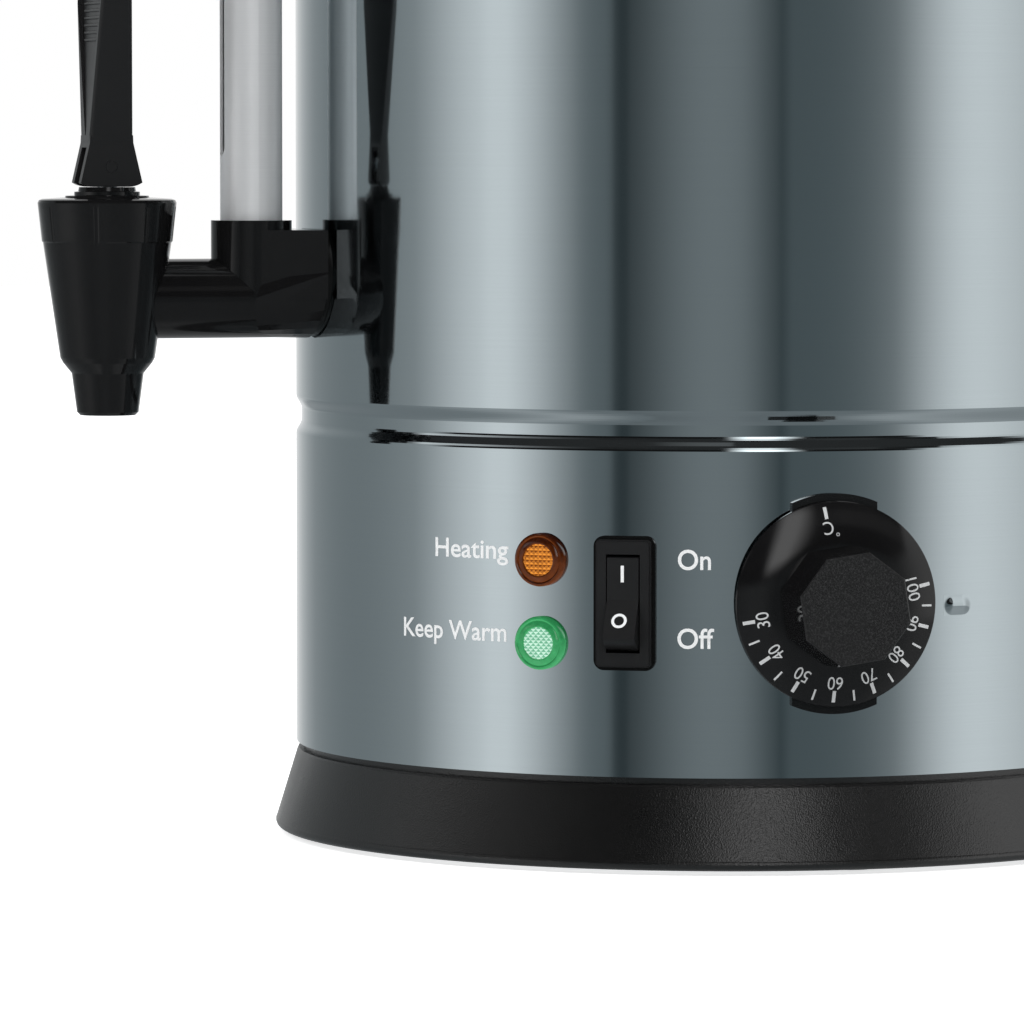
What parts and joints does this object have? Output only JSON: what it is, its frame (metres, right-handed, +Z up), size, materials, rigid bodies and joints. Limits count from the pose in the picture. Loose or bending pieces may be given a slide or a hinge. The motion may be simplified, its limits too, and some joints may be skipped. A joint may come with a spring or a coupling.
{
  "type": "hot water urn",
  "caption": "Round steel hot water urn on a flared black base, with a lever tap and sight gauge, a thermostat dial, a rocker switch, signal lamps, side handles and a lift-off lid.",
  "frame": {"origin": "on the urn's axis, on the surface that the feet stand on", "axes": "+Z up along the urn, the tap points to -Y, the dial is near +X"},
  "size_m": [0.306, 0.301, 0.4324],
  "materials": {
    "polished_steel": "mirror polished stainless steel, slate tint",
    "inner_steel": "plain stainless steel",
    "base_plastic": "fine grained black plastic",
    "zinc_steel": "zinc plated",
    "foot_rubber": "black rubber",
    "cast_aluminium": "plain",
    "satin_aluminium": "satin anodised tube",
    "ceramic": "white ceramic",
    "control_plastic": "black",
    "copper": "copper capillary",
    "dial_plastic": "black",
    "tap_plastic": "black moulded plastic",
    "amber_lens": "clear amber",
    "green_lens": "clear green",
    "white_nylon": "white nylon",
    "brass_pins": "plated brass",
    "silicone": "silicone rubber",
    "clear_tube": "clear"
  },
  "bodies": {
    "urn": {"outer_shell": "polished_steel", "base_skirt": "base_plastic", "bottom_cover": "zinc_steel", "rubber_feet": "foot_rubber", "foot_screws": "zinc_steel", "base_screws": "zinc_steel", "tank_base": "inner_steel", "heating_plate": "cast_aluminium", "heating_element": "inner_steel", "element_insulators": "ceramic", "thermal_cutout": "control_plastic", "cutout_screws": "zinc_steel", "thermostat_body": "zinc_steel", "thermostat_bulb": "copper", "bulb_clip": "zinc_steel", "thermostat_screws": "zinc_steel", "dial_backplate": "dial_plastic", "switch_gasket": "foot_rubber", "switch_housing": "dial_plastic", "lamp_lens_amber": "amber_lens", "lamp_lens_green": "green_lens", "lamp_bodies": "white_nylon", "lamp_clips": "zinc_steel", "power_inlet": "dial_plastic", "inlet_pins": "brass_pins", "inlet_screws": "zinc_steel", "wiring_loom": "control_plastic", "handle_left": "tap_plastic", "handle_right": "tap_plastic", "handle_screws": "zinc_steel", "handle_washers": "silicone", "gauge_tee": "tap_plastic", "tee_seal": "foot_rubber", "shank_washer": "silicone", "shank_nut": "inner_steel", "gauge_sleeve": "satin_aluminium", "sight_tube": "clear_tube", "tube_seal": "silicone", "gauge_cap": "tap_plastic", "tap_body": "tap_plastic", "tap_bonnet": "tap_plastic"},
    "dial": {"dial_shaft": "zinc_steel", "dial_knob": "dial_plastic"},
    "rocker": {"switch_rocker": "dial_plastic"},
    "valve_stem": {"tap_stem": "inner_steel", "seat_cup": "silicone", "tap_spring": "inner_steel", "lever_pin": "inner_steel"},
    "lever": {"tap_lever": "tap_plastic"},
    "lid": {"lid": "polished_steel", "lid_knob": "tap_plastic", "knob_screw": "zinc_steel", "knob_washer": "silicone"}
  },
  "joints": [
    {"name": "dial_turn", "type": "hinge", "parent": "urn", "child": "dial", "pos_m": [0.11165, -0.00879, 0.067], "axis": [0.9969, -0.0785, 0], "range_deg": [-12, 262]},
    {"name": "rocker_tilt", "type": "hinge", "parent": "urn", "child": "rocker", "pos_m": [0.09515, -0.05717, 0.067], "axis": [0.515, 0.8572, 0], "range_deg": [0, 28]},
    {"name": "valve_lift", "type": "slide", "parent": "urn", "child": "valve_stem", "axis": [0, 0, 1], "range_m": [0, 0.0026], "deforming": ["tap_spring"]},
    {"name": "lever_tilt", "type": "hinge", "parent": "valve_stem", "child": "lever", "pos_m": [0, -0.1658, 0.1744], "axis": [1, 0, 0], "range_deg": [0, 32], "stiffness_Nm_per_rad": 0.0152, "springref_deg": -49.22},
    {"name": "lid_lift", "type": "slide", "parent": "urn", "child": "lid", "axis": [0, 0, 1], "range_m": [0, 0.06]}
  ],
  "couplings": [
    {"joint": "valve_lift", "follows": "lever_tilt", "m_per_rad": 0.0046553}
  ]
}
